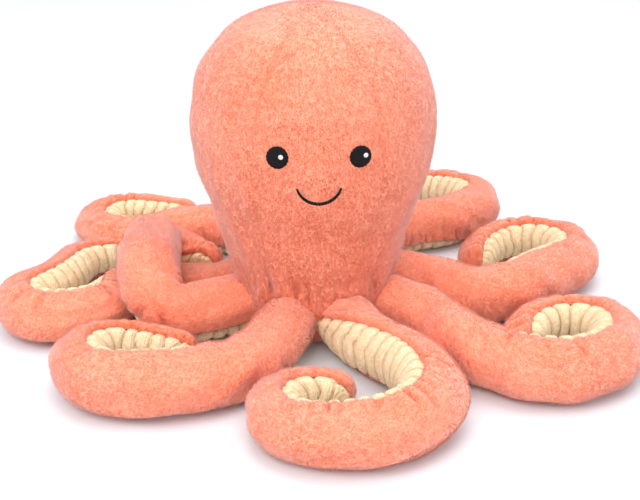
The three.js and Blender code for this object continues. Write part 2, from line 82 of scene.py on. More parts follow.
def area_light(name, place, size, power, colour):
    """A large soft lamp that looks at the toy's middle."""
    data = bpy.data.lights.new(name, "AREA")
    data.size = size
    data.energy = power
    data.color = colour
    lamp = bpy.data.objects.new(name, data)
    lamp.location = place
    lamp.rotation_euler = (TOY_MIDDLE - Vector(place)).to_track_quat("-Z", "Y").to_euler()
    bpy.context.scene.collection.objects.link(lamp)


def new_object(name, vertices, faces, material):
    """An object with a smooth mesh of these vertices, in millimetres, and faces."""
    mesh = bpy.data.meshes.new(name)
    mesh.from_pydata((np.asarray(vertices) * MM).tolist(), [], faces)
    mesh.polygons.foreach_set("use_smooth", [True] * len(mesh.polygons))
    mesh.materials.append(material)
    mesh.update()
    obj = bpy.data.objects.new(name, mesh)
    bpy.context.scene.collection.objects.link(obj)
    return obj


area_light("key_light", (-0.7, -1.0, 1.6), 1.3, 19, (1, 0.985, 0.96))
area_light("fill_light", (0.15, -1.5, 0.35), 1.2, 8, (1, 0.99, 0.98))
area_light("top_light", (0.3, 0.2, 1.8), 1.5, 22, (1, 1, 1))

world = bpy.data.worlds.new("studio")
bpy.context.scene.world = world
world.use_nodes = True
sky = world.node_tree.nodes["Background"]
sky.inputs["Color"].default_value = (0.93, 0.96, 1, 1)
sky.inputs["Strength"].default_value = 0.92
bpy.context.scene.view_settings.view_transform = "Standard"

floor_material = bpy.data.materials.new("pale_floor")
floor_material.use_nodes = True
floor_shader = floor_material.node_tree.nodes["Principled BSDF"]
floor_shader.inputs["Base Color"].default_value = (0.7, 0.725, 0.765, 1)
floor_shader.inputs["Roughness"].default_value = 0.9
floor_grain = floor_material.node_tree.nodes.new("ShaderNodeTexNoise")
floor_grain.inputs["Scale"].default_value = 300
floor_bump = floor_material.node_tree.nodes.new("ShaderNodeBump")
floor_bump.inputs["Strength"].default_value = 0.02
floor_material.node_tree.links.new(floor_grain.outputs["Fac"], floor_bump.inputs["Height"])
floor_material.node_tree.links.new(floor_bump.outputs["Normal"], floor_shader.inputs["Normal"])
floor_corners = np.array([(-1, -1, 0), (1, -1, 0), (1, 1, 0), (-1, 1, 0)]) * FLOOR_REACH
floor = new_object("floor", floor_corners, [(0, 1, 2, 3)], floor_material)
floor.location.z = -0.0003


# The head and body are four gores of short-pile coral plush, sewn edge to edge into a pear and stuffed
# firm with loose fibre. The seams are drawn in a little, most towards the crown. The hem is gathered on
# to the arms, so it puckers.

HEAD_HEIGHT = 186.5
HEAD_RADIUS = 67.5
ARM_RADIUS = 16.8
HEM_RADIUS = 2.62 * ARM_RADIUS
FACE_TURN = 2.5
CLOTH_PROUD = 0.5
GORE_THICKNESS = 3.2
SEAM_HALF_WIDTH = 1.5
SEAM_DEPTH = 0.55
FILLING_LUMPS = 0.5
PUCKER_HEIGHT = 37
PUCKER_SPAN = 9
PUCKER_DEPTH = 1.5
GORE_ROWS = 170
GORE_LINING_COLUMNS = 12
GORE_COLUMNS = {"face_gore": 60, "right_gore": 90, "back_gore": 60, "left_gore": 90}
CORAL_LIGHT = (0.95, 0.4, 0.27, 1)
CORAL_DEEP = (0.87, 0.23, 0.12, 1)
# the deeper coral painted into creases, seams and puckers as their shade
CORAL_FOLD_SHADE = (0.6, 0.1, 0.03, 1)

# a height as a share of HEAD_HEIGHT, and the radius there as shares of HEM_RADIUS and HEAD_RADIUS
PEAR_SHARES = np.array([
    [0.0145, 0.8265, 0], [0.05, 0.94, 0], [0.1, 1, 0], [0.17, 0.89, 0.11], [0.25, 0.75, 0.25],
    [0.4, 0.43, 0.57], [0.54, 0.08, 0.92], [0.65, 0, 1], [0.76, 0, 0.965], [0.83, 0, 0.9],
    [0.89, 0, 0.78], [0.935, 0, 0.65], [0.967, 0, 0.47], [0.99, 0, 0.25], [1, 0, 0.0],
])
# a share of HEAD_HEIGHT, and the face gore's half width there as a share of a quarter turn
FACE_GORE_SHARES = np.array([[0, 0.41], [0.5, 0.34], [0.83, 0.3], [1, 0.2]])


def ease(t):
    """0 before 0, 1 after 1, and between them three times the square less twice the cube."""
    t = np.clip(t, 0, 1)
    return t * t * (3 - 2 * t)


def bell(x):
    """1 at 0, falling to almost nothing at 2 either way: e to the power of minus the square."""
    return np.exp(-np.asarray(x) ** 2)


def lumps(seed, count, *coordinates):
    """A smooth random field between about -1 and 1: a sum of sine waves with seeded directions and phases.
    Each coordinate is given already divided by the size of its lumps."""
    rng = np.random.default_rng(seed)
    total = 0
    for _ in range(count):
        way = rng.normal(size=len(coordinates))
        run = sum(w * c for w, c in zip(way, coordinates))
        total = total + np.sin(run * 3.2 + rng.uniform(0, 2 * np.pi))
    return total / math.sqrt(count)


def crowded(count, margin):
    """Places from 0 to 1 that crowd towards both ends, where cloth bends most into its seams: a cosine from
    margin to 1 - margin of its half turn, stretched to reach from 0 to 1."""
    swing = margin + (1 - 2 * margin) * np.linspace(0, 1, count)
    return 0.5 - 0.5 * np.cos(np.pi * swing) / math.cos(np.pi * margin)


def spline(known, values, places, last=None):
    """A smooth curve through known points: between two of them a cubic whose slopes are those of the
    points on either side, or the last slope that is given."""
    slope = np.gradient(values, known)
    slope[-1] = slope[-1] if last is None else last
    i = np.clip(np.searchsorted(known, places) - 1, 0, len(known) - 2)
    step = known[i + 1] - known[i]
    t = (places - known[i]) / step
    return ((2 * t ** 3 - 3 * t ** 2 + 1) * values[i] + (t ** 3 - 2 * t ** 2 + t) * step * slope[i]
            + (3 * t ** 2 - 2 * t ** 3) * values[i + 1] + (t ** 3 - t ** 2) * step * slope[i + 1])


def pear_curve(rows):
    """Heights and radii of rows that lie evenly along the pear's outline, from the hem's underside to the
    crown. The outline is a smooth curve through the table's points."""
    z = PEAR_SHARES[:, 0] * HEAD_HEIGHT
    r = PEAR_SHARES[:, 1] * HEM_RADIUS + PEAR_SHARES[:, 2] * HEAD_RADIUS
    run = np.concatenate([[0], np.cumsum(np.hypot(np.diff(z), np.diff(r)))])
    places = np.linspace(0, run[-1], 600)
    fine_z, fine_r = spline(run, z, places, 0), spline(run, r, places, -1)
    at = np.linspace(0, run[-1], rows)
    return np.interp(at, places, fine_z), np.maximum(np.interp(at, places, fine_r), 0.4)


def gore_edges(z):
    """The four seams' directions at each height, in radians, anticlockwise from the face gore's left, and
    the first one again after a full turn: the face's and the back's middles, less and plus the face gore's
    half width."""
    half = np.interp(z / HEAD_HEIGHT, FACE_GORE_SHARES[:, 0], FACE_GORE_SHARES[:, 1]) * 90
    front = -90 + FACE_TURN
    back = front + 180
    return np.radians(np.stack([front - half, front + half, back - half, back + half, front + 360 - half]))


def pear_surface(angle, z, r, to_seam):
    """The plush's outer surface, and how much painted shade it gets in its seam grooves and puckers. Its
    radius is the outline's and the cloth's, less a groove that falls off with the distance from a seam, plus
    the filling's soft lumps. Round the gathered hem it is less the puckers and plus their small crinkles."""
    seam = bell(to_seam / SEAM_HALF_WIDTH) * (0.3 + 0.7 * ease((z - 110) / 50))
    hem = bell((z - PUCKER_HEIGHT) / PUCKER_SPAN)
    pucker = ease(lumps(5, 9, angle * 7.5, z / 40))
    out = r + CLOTH_PROUD - SEAM_DEPTH * seam * ease(r / 20)
    out = out + FILLING_LUMPS * lumps(3, 7, np.cos(angle) * r / 30, np.sin(angle) * r / 30, z / 28)
    out = out - PUCKER_DEPTH * hem * pucker + 0.3 * hem * lumps(6, 9, angle * 13, z / 9)
    place = np.stack([np.cos(angle) * out, np.sin(angle) * out, z + 0 * angle], axis=-1)
    return place, np.clip(0.3 * seam + 0.55 * hem * pucker ** 2, 0, 1)


def grid_normals(points):
    """Unit normals of a grid of points: the cross product of the differences along its two ways."""
    normal = np.cross(np.gradient(points, axis=1), np.gradient(points, axis=0))
    return normal / np.maximum(np.linalg.norm(normal, axis=2, keepdims=True), 1e-9)


def float_attribute(obj, name, values):
    """Stores one number for each vertex, for the material to read."""
    attribute = obj.data.attributes.new(name, "FLOAT", "POINT")
    attribute.data.foreach_set("value", np.asarray(values, np.float32).ravel())


def cloth_solid(name, outside, inside, normals, material, attributes=()):
    """A closed piece of cloth. outside is its outer surface, a grid of rows by columns whose rows run
    across it. inside is a coarser grid with the same rows, from the first column's edge to the last's.
    The two are joined along all four edges. normals are those of the outer surface, kept as they are so
    that two pieces that meet shade as one. attributes are (name, grid) pairs for the outer surface."""
    rows, across = outside.shape[:2]
    under = inside.shape[1]
    ring = np.concatenate([outside, inside[:, ::-1]], axis=1)
    ring_normals = np.concatenate([normals, -grid_normals(inside)[:, ::-1]], axis=1)
    count = across + under
    here = np.arange(count)[None, :]
    starts = np.arange(rows - 1)[:, None] * count
    a, b = starts + here, starts + (here + 1) % count
    faces = np.stack([a, b, b + count, a + count], axis=2).reshape(-1, 4).tolist()
    faces.append(list(range(count - 1, -1, -1)))
    faces.append(list(range((rows - 1) * count, rows * count)))
    obj = new_object(name, ring.reshape(-1, 3), faces, material)
    obj.data.normals_split_custom_set_from_vertices(ring_normals.reshape(-1, 3).tolist())
    for attribute, values in attributes:
        float_attribute(obj, attribute, np.concatenate([values, np.zeros((rows, under))], axis=1))
    return obj


class Nodes:
    """Short ways to add nodes to the tree of a material or a group, and to join them."""

    def __init__(self, tree):
        self.tree = tree

    def put(self, socket, value):
        """Sets a socket to a value, or joins it to another node's output."""
        if isinstance(value, bpy.types.NodeSocket):
            self.tree.links.new(value, socket)
        else:
            socket.default_value = value

    def node(self, kind, **inputs):
        """A node of a kind, with its inputs given by name."""
        node = self.tree.nodes.new(kind)
        for key, value in inputs.items():
            self.put(node.inputs[key.replace("_", " ")], value)
        return node

    def effect(self, group, **inputs):
        """A shared effect with its own values here: the one output of its group."""
        node = self.tree.nodes.new("ShaderNodeGroup")
        node.node_tree = group
        for key, value in inputs.items():
            self.put(node.inputs[key], value)
        return node.outputs[0]

    def attribute(self, name):
        """A number stored on the piece's vertices."""
        node = self.node("ShaderNodeAttribute")
        node.attribute_name = name
        return node.outputs["Fac"]

    def between(self, value, low, high):
        """A value spread from 0 at low to 1 at high, and no further."""
        return self.node("ShaderNodeMapRange", Value=value, From_Min=low, From_Max=high).outputs["Result"]

    def mix(self, share, a, b):
        """A colour between two colours. A Mix node's sockets for colours are the seventh and eighth."""
        node = self.node("ShaderNodeMix")
        node.data_type = "RGBA"
        self.put(node.inputs[0], share)
        self.put(node.inputs[6], a)
        self.put(node.inputs[7], b)
        return node.outputs[2]

    def math(self, operation, a, b=0.0):
        """Simple arithmetic on two numbers."""
        node = self.node("ShaderNodeMath")
        node.operation = operation
        self.put(node.inputs[0], a)
        self.put(node.inputs[1], b)
        return node.outputs[0]

    def bump(self, height, distance, strength, normal=None):
        """A fine relief, on another one where that is given."""
        inputs = {"Height": height, "Distance": distance, "Strength": strength}
        if normal:
            inputs["Normal"] = normal
        return self.node("ShaderNodeBump", **inputs).outputs["Normal"]


class Finish(Nodes):
    """The nodes of a new material round its Principled shader, whose plain values are given by name."""

    def __init__(self, name, **values):
        self.material = bpy.data.materials.new(name)
        self.material.use_nodes = True
        super().__init__(self.material.node_tree)
        self.shader = self.tree.nodes["Principled BSDF"]
        for key, value in values.items():
            self.shader.inputs[key.replace("_", " ")].default_value = value

    def show(self, colour, normal=None):
        """Gives the shader its colour and relief."""
        self.put(self.shader.inputs["Base Color"], colour)
        if normal:
            self.put(self.shader.inputs["Normal"], normal)


def new_effect(name, inputs, output, kind):
    """A shader node group with named inputs and one output, whose sockets are all of one kind: its nodes,
    what it is given, and where its result goes."""
    tree = bpy.data.node_groups.new(name, "ShaderNodeTree")
    for socket in inputs:
        tree.interface.new_socket(socket, in_out="INPUT", socket_type=kind)
    tree.interface.new_socket(output, in_out="OUTPUT", socket_type=kind)
    n = Nodes(tree)
    return n, n.node("NodeGroupInput").outputs, n.node("NodeGroupOutput").inputs[output]


def nap_grain():
    """The grain of a napped cloth: smooth noise over the piece at rest, spread from 0 at Low to 1 at
    High."""
    sockets = ("Scale", "Detail", "Low", "High")
    n, given, result = new_effect("nap_grain", sockets, "Grain", "NodeSocketFloat")
    place = n.node("ShaderNodeTexCoord").outputs["Object"]
    noise = n.node("ShaderNodeTexNoise", Vector=place, Scale=given["Scale"], Detail=given["Detail"])
    n.put(result, n.between(noise.outputs["Fac"], given["Low"], given["High"]))
    return n.tree


def gather_shade():
    """Painted shade down in creases and gathers: a mix towards a deeper colour by three quarters of the
    piece's stored fold.
    """
    n, given, result = new_effect("gather_shade", ("Cloth", "Folded"), "Color", "NodeSocketColor")
    share = n.math("MULTIPLY", n.attribute("fold"), 0.75)
    n.put(result, n.mix(share, given["Cloth"], given["Folded"]))
    return n.tree


def plush_material():
    """The plush's ground under its pile: soft patches, small clumps and fine fibre flecks added up to mix
    two corals, with a painted shade, deeper, in folds, and with a pale sheen where it turns away."""
    n = Finish("coral_plush", Roughness=0.95, Specular_IOR_Level=0.1, Sheen_Weight=0.8, Sheen_Roughness=0.5,
               Sheen_Tint=(1, 0.86, 0.82, 1))
    patches = n.effect(NAP_GRAIN, Scale=30, Detail=3, Low=0.35, High=0.68)
    flecks = n.effect(NAP_GRAIN, Scale=900, Detail=3, Low=0.36, High=0.72)
    clumps = n.effect(NAP_GRAIN, Scale=300, Detail=4, Low=0.3, High=0.75)
    tone = n.math("ADD", n.math("MULTIPLY", patches, 0.36), n.math("MULTIPLY", flecks, 0.28))
    tone = n.math("ADD", tone, n.math("MULTIPLY", clumps, 0.36))
    colour = n.effect(GATHER_SHADE, Cloth=n.mix(tone, CORAL_DEEP, CORAL_LIGHT), Folded=CORAL_FOLD_SHADE)
    fine = n.bump(n.effect(NAP_GRAIN, Scale=1100, Detail=3, Low=0, High=1), 0.0009, 0.55)
    coarse = n.bump(n.effect(NAP_GRAIN, Scale=300, Detail=4, Low=0, High=1), 0.0022, 0.5, fine)
    n.show(colour, coarse)
    return n.material


NAP_GRAIN = nap_grain()
GATHER_SHADE = gather_shade()
PLUSH = plush_material()

gores = {}
cloths = []
heights, radii = pear_curve(GORE_ROWS)
edges = gore_edges(heights)
for index, (gore, columns) in enumerate(GORE_COLUMNS.items()):
    first, last = edges[index][:, None], edges[index + 1][:, None]
    turn = first + (last - first) * crowded(columns, 0.15)[None, :]
    from_seam = np.minimum(turn - first, last - turn) * radii[:, None]
    outer, folds = pear_surface(turn, heights[:, None], radii[:, None], from_seam)
    inner_turn = first + (last - first) * np.linspace(0, 1, GORE_LINING_COLUMNS)[None, :]
    inner_radius = np.maximum(radii - GORE_THICKNESS, radii * 0.5)[:, None]
    inner_height = np.minimum(heights, HEAD_HEIGHT - 2.5)[:, None] + 0 * inner_turn
    inner = np.stack([np.cos(inner_turn) * inner_radius, np.sin(inner_turn) * inner_radius, inner_height],
                     axis=-1)
    gores[gore] = cloth_solid(gore + "_cloth", outer, inner, grid_normals(outer), PLUSH, [("fold", folds)])
    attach(gores[gore], "body")
    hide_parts(gore)
    cloths.append((gore, "plush", outer, grid_normals(outer), folds, ("body",), -1))
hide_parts("body_filling")


# Under the body a round panel of the same plush closes the pear. The bag of pellets that weighs the toy
# down rests on it, inside, so the two are one low rounded solid here.

PANEL_RADIUS = 0.82 * HEM_RADIUS
BASE_SIDES = 72
# radius and height along the outline, from the middle of its underside to the middle of its top
BASE_ROWS = [
    (0, 0), (PANEL_RADIUS - 2, 0), (PANEL_RADIUS - 0.6, 0.5), (PANEL_RADIUS, 1.4), (PANEL_RADIUS - 0.8, 2.6),
    (PANEL_RADIUS - 3, 4.5), (PANEL_RADIUS - 3.5, 9), (PANEL_RADIUS - 6, 13), (PANEL_RADIUS - 14, 15),
    (0, 15.2),
]


def turned(name, rows, sides, material):
    """A closed solid turned about Z from its outline, rows of radius and height whose two ends lie on the
    axis: each row between them becomes a ring of points at equal angles."""
    angle = np.linspace(0, 2 * np.pi, sides, endpoint=False)
    radius, height = np.array(rows[1:-1]).T[:, :, None]
    rings = np.stack([radius * np.cos(angle), radius * np.sin(angle), height + 0 * angle], axis=-1)
    vertices = np.concatenate([[(0, 0, rows[0][1])], rings.reshape(-1, 3), [(0, 0, rows[-1][1])]])
    here = np.arange(sides)
    after = (here + 1) % sides
    low = 1 + np.arange(len(rings) - 1)[:, None] * sides
    walls = np.stack([low + here, low + after, low + sides + after, low + sides + here], axis=-1)
    top = 1 + (len(rings) - 1) * sides
    faces = np.stack([0 * here, 1 + after, 1 + here], axis=1).tolist()
    faces += walls.reshape(-1, 4).tolist()
    faces += np.stack([top + here, top + after, 0 * here + len(vertices) - 1], axis=1).tolist()
    return new_object(name, vertices, faces, material)


base = turned("base_cloth", BASE_ROWS, BASE_SIDES, PLUSH)
float_attribute(base, "fold", np.zeros(len(base.data.vertices)))
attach(base, "body")
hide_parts("base_panel", "pellet_bag")


# The eight arms are long stuffed tubes, sewn on round the hem and curled over the floor. Each has a plush
# back and, inside its curl, a strip of cream fine-wale corduroy, cut longer than its place and gathered in.
# The two are joined along both edges, with the corduroy tucked under the plush.

BAND_HALF_ANGLE = 60
BAND_TILT = 14
SEAM_HEIGHT = 1.13 * ARM_RADIUS
ROOT_HEIGHT = 17.4
SEAM_OUTSET = 1.8
WEDGE_LENGTH = 1.07 * ARM_RADIUS
PLUSH_THICKNESS = 3.4
BAND_THICKNESS = 4.2
TUCK_WIDTH = 6
WALES = 6
ROOT_SWELL = 1.9
ROOT_SWELL_REACH = 45
BEHIND_SEAM = 11
END_REACH = 8
CREASE_PITCH = 8
MIDDLE_SHARES = (0.4, 0.6)
ROOT_BEND = (-2, 18)
MIDDLE_BEND = 12
LOWEST = 0.25
ARCS = 6
ROUTE_STEPS = 96
CREAM_LIGHT = (0.95, 0.78, 0.54, 1)
CREAM_DEEP = (0.8, 0.59, 0.34, 1)
# the darker, yellower cream painted down in the gathers as their shade
CREAM_FOLD_SHADE = (0.46, 0.28, 0.11, 1)

# a share of an arm's length, and half its thickness there as a share of ARM_RADIUS
SWELL_SHARES = np.array([
    [0, 0.85], [0.08, 0.905], [0.2, 0.965], [0.4, 1], [0.6, 0.93], [0.8, 0.8], [1, 0.64],
])
# name: the seam's direction, length in arm radii, turns of each sixth, shares where the corduroy turns
# inwards, and where the arm is pressed flatter: at a share of its length, over a share, by a share of its
# thickness
ARMS = {
    "front_right_arm": (-66, 15.0, [20, -40, -68, -42, -100, -110], (-0.15, 0.15), None),
    "right_front_arm": (-21, 16.3, [-50, 30, 65, 60, 105, 100], (0.1, 0.4), None),
    "right_back_arm": (20, 15.8, [-70, 95, -5, 80, 90, 70], (0.1, 0.4), None),
    "back_right_arm": (62, 15.7, [0, -45, 35, 85, 50, 30], (0.35, 0.6), None),
    "back_left_arm": (117, 15.5, [-5, 65, 15, -85, -120, -5], (0.35, 0.6), (0.6, 0.42, 0.31)),
    "left_back_arm": (160, 15.9, [10, 90, -65, -135, 20, -85], (0.1, 0.4), (0.22, 0.48, 0.355)),
    "left_front_arm": (-159, 11.15, [0, -95, -15, 10, -85, -80], (0.7, 1.05), (0.58, 0.36, 0.25)),
    "front_left_arm": (-109, 13.9, [-8, -45, -25, -75, -105, -20], (0.1, 0.4), None),
}
# the arm that climbs over its neighbour: the shares where it starts up, is up, starts down and is down, and
# its rise in arm radii
DRAPED = "left_front_arm"
DRAPE_SHARES = (0.16, 0.45, 0.6, 0.94, 1.5)
PEAR_OUTLINE = pear_curve(200)


def pear_radius(z):
    """The pear's radius at a height, read off its outline."""
    return np.interp(z, *PEAR_OUTLINE)


def direction(degrees):
    """A level direction, from its angle in degrees."""
    angle = math.radians(degrees)
    return np.array([math.cos(angle), math.sin(angle)])


class Arm:
    """An arm's middle line and its directions, in the frame: a chain of arcs, one for each sixth of its
    length, seen from above, at the height of its half thickness over the floor."""

    def __init__(self, name):
        self.name = name
        self.seam_angle, length_share, self.turns, self.band, self.pressed = ARMS[name]
        self.length = length_share * ARM_RADIUS
        self.side = np.sign(sum(self.turns[3:]))
        self.knots = np.linspace(0, 1, ROUTE_STEPS + 1)
        self.z = self.height(self.knots)
        step = self.length / ROUTE_STEPS
        level = np.sqrt(np.maximum(step ** 2 - np.diff(self.z) ** 2, 0))
        turn = np.radians(np.repeat(self.turns, ROUTE_STEPS // ARCS)) * ARCS / ROUTE_STEPS
        self.heading = np.radians(self.seam_angle) + np.concatenate([[0], np.cumsum(turn)])
        way = self.heading[:-1] + turn / 2
        start = direction(self.seam_angle) * (pear_radius(SEAM_HEIGHT) + SEAM_OUTSET)
        self.x = start[0] + np.concatenate([[0], np.cumsum(level * np.cos(way))])
        self.y = start[1] + np.concatenate([[0], np.cumsum(level * np.sin(way))])
        self.start = np.array([start[0], start[1], SEAM_HEIGHT])

    def radius(self, share):
        """Half the arm's thickness: the table's swell, and a little more at the root, which is stuffed full
        where it comes out of the body."""
        swell = spline(SWELL_SHARES[:, 0], SWELL_SHARES[:, 1] * ARM_RADIUS, np.clip(share, 0, 1))
        return swell + ROOT_SWELL * (1 - ease(share * self.length / ROOT_SWELL_REACH))

    def size(self, share):
        """Half the arm's width and half its height. Where it is pressed it is lower, and a little wider."""
        radius = self.radius(share)
        at, span, depth = self.pressed or (0, 1, 0)
        pressed = depth * ease(1 - np.abs(share - at) / span)
        return radius * (1 + 0.3 * pressed), radius * (1 - pressed)

    def height(self, share):
        """The height of the arm's middle: its half height, raised where it climbs over its neighbour, and
        sloping down to that from the seam over the first wedge."""
        low, high, fall, end, rise = DRAPE_SHARES
        lift = np.minimum(ease((share - low) / (high - low)), ease((end - share) / (end - fall)))
        laid = self.size(share)[1] - 0.5 + (lift * rise * ARM_RADIUS if self.name == DRAPED else 0)
        wedge = WEDGE_LENGTH / self.length
        return np.where(share < wedge, ROOT_HEIGHT + (laid - ROOT_HEIGHT) * share / wedge, laid)

    def frames(self, share):
        """Middle, forward, left and up at each share. The heading runs straight between its values at 56
        even shares, and the slope is the mean of seven steps. Shares under 0 lie straight behind the
        seam."""
        soft = np.linspace(0, 1, 56)
        inside = np.clip(share, 0, 1)

        def pick(values):
            """The values at the shares, straight between those at the knots."""
            return np.interp(inside, self.knots, values)

        heading = np.interp(inside, soft, np.interp(soft, self.knots, self.heading))
        place = np.stack([pick(self.x), pick(self.y), pick(self.z)], axis=-1)
        slope = np.arcsin(np.clip(np.gradient(self.z, self.length / ROUTE_STEPS), -0.99, 0.99))
        tilt = pick(np.convolve(np.pad(slope, 3, mode="edge"), np.ones(7) / 7, "valid"))
        level = np.cos(tilt)
        forward = np.stack([np.cos(heading) * level, np.sin(heading) * level, np.sin(tilt)], axis=-1)
        left = np.stack([-np.sin(heading), np.cos(heading), 0 * heading], axis=-1)
        up = np.cross(forward, left)
        beyond = np.minimum(share, 0) * self.length
        return place + forward * beyond[..., None], forward, left, up

    def band_angle(self, share):
        """Where the corduroy's middle looks, round the arm from its left over its top: down at first, and
        to the inside of the curl, a little upwards, after its turn."""
        start, end = self.band
        return np.radians(-90 + self.side * (90 + BAND_TILT) * ease((share - start) / (end - start)))

    def bend(self, share):
        """The line's curvature, in radians for each millimetre."""
        sixth = np.clip((np.asarray(share) * ARCS).astype(int), 0, ARCS - 1)
        return np.abs(np.radians(np.array(self.turns)))[sixth] * ARCS / self.length

    def surface(self, share, around, out):
        """Points round the arm: share along it, around from the corduroy's middle in radians, and out
        beyond its half thickness. Each is the middle plus left by the cosine and up by the sine of its
        angle. The end is a quarter of a circle, the root behind the seam is a little narrower, and what
        would sink into the floor lies on it."""
        place, _, left, up = self.frames(share[:, None] + 0 * around)
        angle = self.band_angle(share)[:, None] + around
        half, low = self.size(share)
        to_end = np.clip((1 - share) * self.length / self.radius(np.array([1.0])), 0, 1)
        from_root = ease((share * self.length + 22) / 24) * 0.14 + 0.86
        taper = np.sqrt(1 - (1 - to_end) ** 2) * from_root
        out = out * np.minimum(to_end * 3, 1)[:, None]
        across = ((half * taper)[:, None] + out) * np.cos(angle)
        upright = ((low * taper)[:, None] + out) * np.sin(angle)
        point = place + left * across[..., None] + up * upright[..., None]
        z = point[..., 2]
        point[..., 2] = np.where(z < LOWEST, LOWEST * np.exp((z - LOWEST) / 4), z)
        return point


def gathers(arm, share):
    """How many gathers of the corduroy lie before each share. They are about 8 mm apart, and further
    apart along the middle line where the arm curls tightly, because they bunch on the inside."""
    tight = np.clip(1 - arm.bend(share) * arm.radius(share), 0.35, 1)
    pitch = np.clip(6.2 / tight, 8.2, 12.5)
    return np.cumsum(np.gradient(share * arm.length) / pitch)


def rim_creases(arm, seed, along, edges):
    """Short creases that run in from the plush's two rims, wandering a little: how deep the groove is at
    each point, and how high the soft ridge beside it. There is one about every 8 mm along each rim, with
    its own place, reach, strength, slant and phase."""
    rng = np.random.default_rng(seed)
    groove = ridge = 0
    for edge in edges:
        for start in np.arange(CREASE_PITCH, arm.length - CREASE_PITCH, CREASE_PITCH):
            place, reach, strength, slant, phase = rng.uniform((-3, 9, 0.2, -0.3, 0), (3, 24, 1, 0.3, 6))
            beside = along - start - place - slant * edge - 0.9 * np.sin(edge / 5 + phase)
            there = strength * ease((reach - edge) / 9) * ease((edge - 0.5) / 2.5)
            groove = groove + there * bell(beside / 1.3)
            ridge = ridge + there * bell((beside - 3.4) / 2.4)
    return np.minimum(groove, 1), np.minimum(ridge, 1)


def plush_back(arm, seed, share):
    """The plush round the back of an arm. Out of the arm's own surface it swells close to each rim and
    drops at the rim itself, deeper in each scallop, where it rolls over the corduroy. Soft lumps lie all
    over it, and where the arm bends it creases across."""
    half = math.radians(BAND_HALF_ANGLE - 3)
    reach = 2 * np.pi - 2 * half
    around = (half + reach * crowded(56, 0.12))[None, :] + 0 * share[:, None]
    radius = arm.radius(share)[:, None]
    edges = (around - half) * radius, (2 * np.pi - half - around) * radius
    edge = np.minimum(*edges)
    along = (share * arm.length)[:, None]
    count = gathers(arm, share)[:, None]
    scallop = 0.5 + 0.5 * np.cos(2 * np.pi * (count + 0.12 * lumps(seed, 5, along / 20)))
    rim = bell(edge / 2.4)
    bent = 0.12 + 0.88 * ease(arm.bend(share) * 42)[:, None]
    groove, ridge = rim_creases(arm, seed + 1, along, edges)
    out = 0.9 * bell((edge - 3.6) / 2.8) - rim * (1.2 + 0.6 * scallop)
    out = out + 0.7 * lumps(seed + 2, 7, along / 24, around * 1.1) + bent * (0.8 * ridge - 1.9 * groove)
    # Painted shade: darker where the plush rolls over at each rim and down in the grooves where it bends.
    fold = np.clip(0.8 * rim ** 2 + 0.85 * bent * groove, 0, 1)
    inner_around = (half + reach * np.linspace(0, 1, 9))[None, :] + 0 * share[:, None]
    inner = arm.surface(share, inner_around, -PLUSH_THICKNESS + 0 * inner_around)
    return arm.surface(share, around, out), inner, [("fold", fold)]


def ruched_band(arm, seed, share):
    """The corduroy inside the curl. Plump gathers run across it, each a raised arch between thin creases
    that wander a little, with small pleats on some. Its two edges are tucked in under the plush. Six wales
    of the corduroy run along each gather."""
    half = math.radians(BAND_HALF_ANGLE + 5)
    around = half * np.linspace(-1, 1, 34)[None, :] + 0 * share[:, None]
    along = (share * arm.length)[:, None]
    radius = arm.radius(share)[:, None]
    wander = 0.13 * lumps(seed, 6, along / 20, around * 1.1)
    wander = wander + 0.04 * lumps(seed + 1, 6, along / 9, around * 2.2)
    phase = gathers(arm, share)[:, None] + wander
    crest = 1 - (1 - np.abs(np.sin(np.pi * phase))) ** 2.6
    minor = 1 - (1 - np.abs(np.sin(np.pi * (2 * phase + 0.3)))) ** 2
    depth = 2.3 + 0.4 * lumps(seed + 2, 5, along / 30)
    tuck = ease((np.abs(around) * radius - (half * radius - TUCK_WIDTH)) / TUCK_WIDTH)
    pleats = 0.25 * (1 - minor) * ease(lumps(seed + 3, 5, along / 14, around))
    out = 1.1 - depth * (1 - crest) - pleats - 3.1 * tuck
    # Painted shade: darker down in the creases between gathers and where the edges tuck under.
    fold = np.clip((1 - crest) ** 1.4 * 0.85 + 0.2 * tuck, 0, 1)
    inner_around = half * np.linspace(-1, 1, 6)[None, :] + 0 * share[:, None]
    inner = arm.surface(share, inner_around, -BAND_THICKNESS + 0 * inner_around)
    return arm.surface(share, around, out), inner, [("fold", fold), ("wale", 2 * np.pi * phase * WALES)]


def corduroy_material():
    """Cream fine-wale corduroy: a soft nap mixes two creams, with a painted shade, darker and yellower, down
    in the gathers, over a sine relief for the wales."""
    n = Finish("cream_corduroy", Roughness=0.9, Specular_IOR_Level=0.12, Sheen_Weight=0.35,
               Sheen_Roughness=0.5, Sheen_Tint=(1, 0.95, 0.82, 1))
    nap = n.effect(NAP_GRAIN, Scale=500, Detail=4, Low=0.3, High=0.75)
    colour = n.effect(GATHER_SHADE, Cloth=n.mix(nap, CREAM_DEEP, CREAM_LIGHT), Folded=CREAM_FOLD_SHADE)
    wales = n.bump(n.math("SINE", n.attribute("wale")), 0.00035, 0.5)
    n.show(colour, n.bump(n.effect(NAP_GRAIN, Scale=900, Detail=3, Low=0, High=1), 0.0009, 0.6, wales))
    return n.material


def cut_piece(grids, first, last):
    """The rows of a pair of grids, and their stored numbers, from one row to another."""
    outer, inner, attributes = grids
    rows = slice(first, last + 1)
    stored = [(key, values[rows]) for key, values in attributes]
    return outer[rows], inner[rows], grid_normals(outer)[rows], stored


def arm_shares(arm, spacing):
    """Shares along an arm: evenly from behind the seam, inside the body, and closer together round its end,
    by a sine."""
    straight = np.arange(-BEHIND_SEAM, arm.length - END_REACH, spacing)
    end = arm.length - END_REACH * (1 - np.sin(np.linspace(0, np.pi / 2, 14)))
    return np.concatenate([straight, end]) / arm.length


def settle(obj, mover):
    """Moves an object with one body of the frame. Given two, on either side of a bend, it only bakes the
    object's placement into its mesh.
    """
    if len(mover) == 1:
        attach(obj, mover[0])
    else:
        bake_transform(obj)


